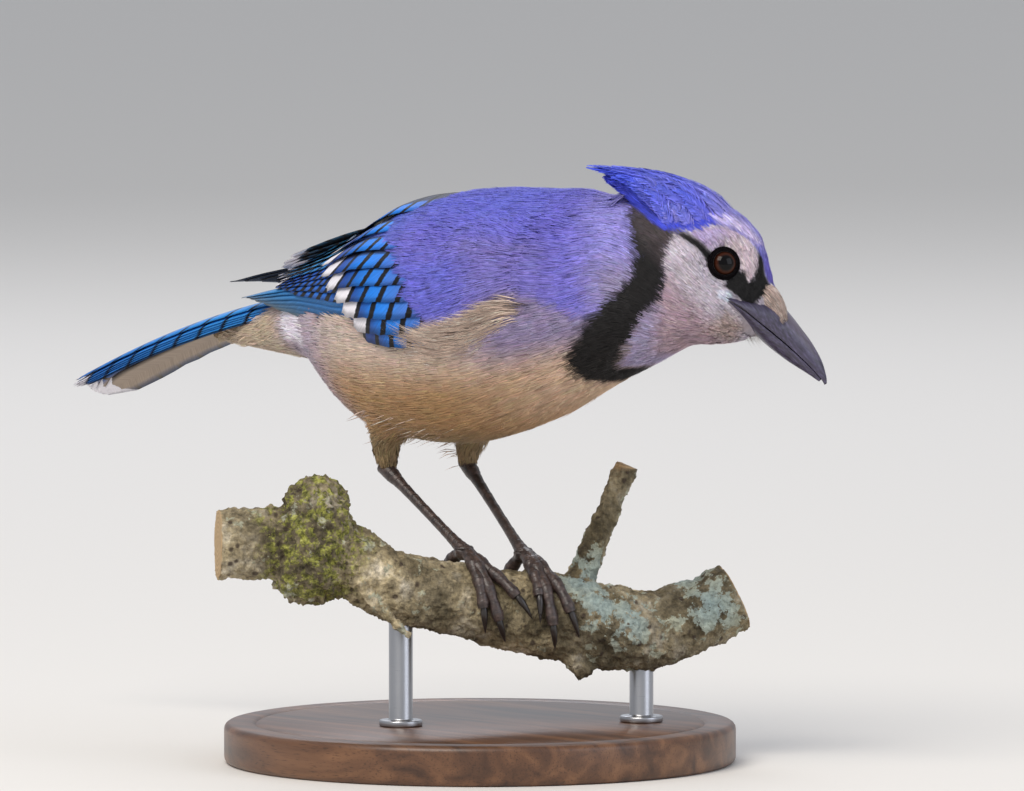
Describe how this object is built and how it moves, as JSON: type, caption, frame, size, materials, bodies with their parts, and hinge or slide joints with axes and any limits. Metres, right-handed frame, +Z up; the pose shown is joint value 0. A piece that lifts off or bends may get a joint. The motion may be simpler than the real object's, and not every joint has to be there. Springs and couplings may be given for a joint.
{
  "type": "blue jay model on a perch",
  "caption": "Life-size blue jay with raised crest, gripping a short cut branch that a round base holds on two short rods.",
  "frame": {"origin": "centre of the stand base's underside, which rests on the floor", "axes": "+X the way the trunk heads, +Y the bird's left, +Z up"},
  "size_m": [0.2381, 0.1289, 0.1515],
  "materials": {
    "body_plumage": "soft matt body feathers, violet-blue on the back, buff-white below",
    "head_plumage": "soft matt head feathers: violet-blue crown and crest, white face, black necklace",
    "flight_feathers": "smooth feather vanes, blue barred with black, white tips",
    "eye": "wet gloss, dark brown iris and black pupil",
    "horn": "blackish horn with a soft sheen",
    "scaled_skin": "blackish scaled skin",
    "bark": "rough grey-brown bark with lichen and moss",
    "stand_wood": "satin varnished walnut",
    "stand_metal": "brushed steel rod"
  },
  "bodies": {
    "root": {"torso": "body_plumage", "neck": "body_plumage", "head": "head_plumage", "tail": "flight_feathers", "wing_right": "flight_feathers", "wing_left": "flight_feathers", "eye_right": "eye", "eye_left": "eye", "bill_upper": "horn", "bill_lower": "horn", "thigh_right": "body_plumage", "thigh_left": "body_plumage", "tarsus_right": "scaled_skin", "tarsus_left": "scaled_skin", "foot_right": "scaled_skin", "foot_left": "scaled_skin", "claw_right_outer": "horn", "claw_right_middle": "horn", "claw_right_inner": "horn", "claw_right_hind": "horn", "claw_left_outer": "horn", "claw_left_middle": "horn", "claw_left_inner": "horn", "claw_left_hind": "horn", "perch_branch": "bark", "perch_twig": "bark", "perch_stub_left": "bark", "perch_stub_right": "bark", "stand_base": "stand_wood", "stand_rod_left": "stand_metal", "stand_rod_right": "stand_metal"}
  },
  "joints": []
}
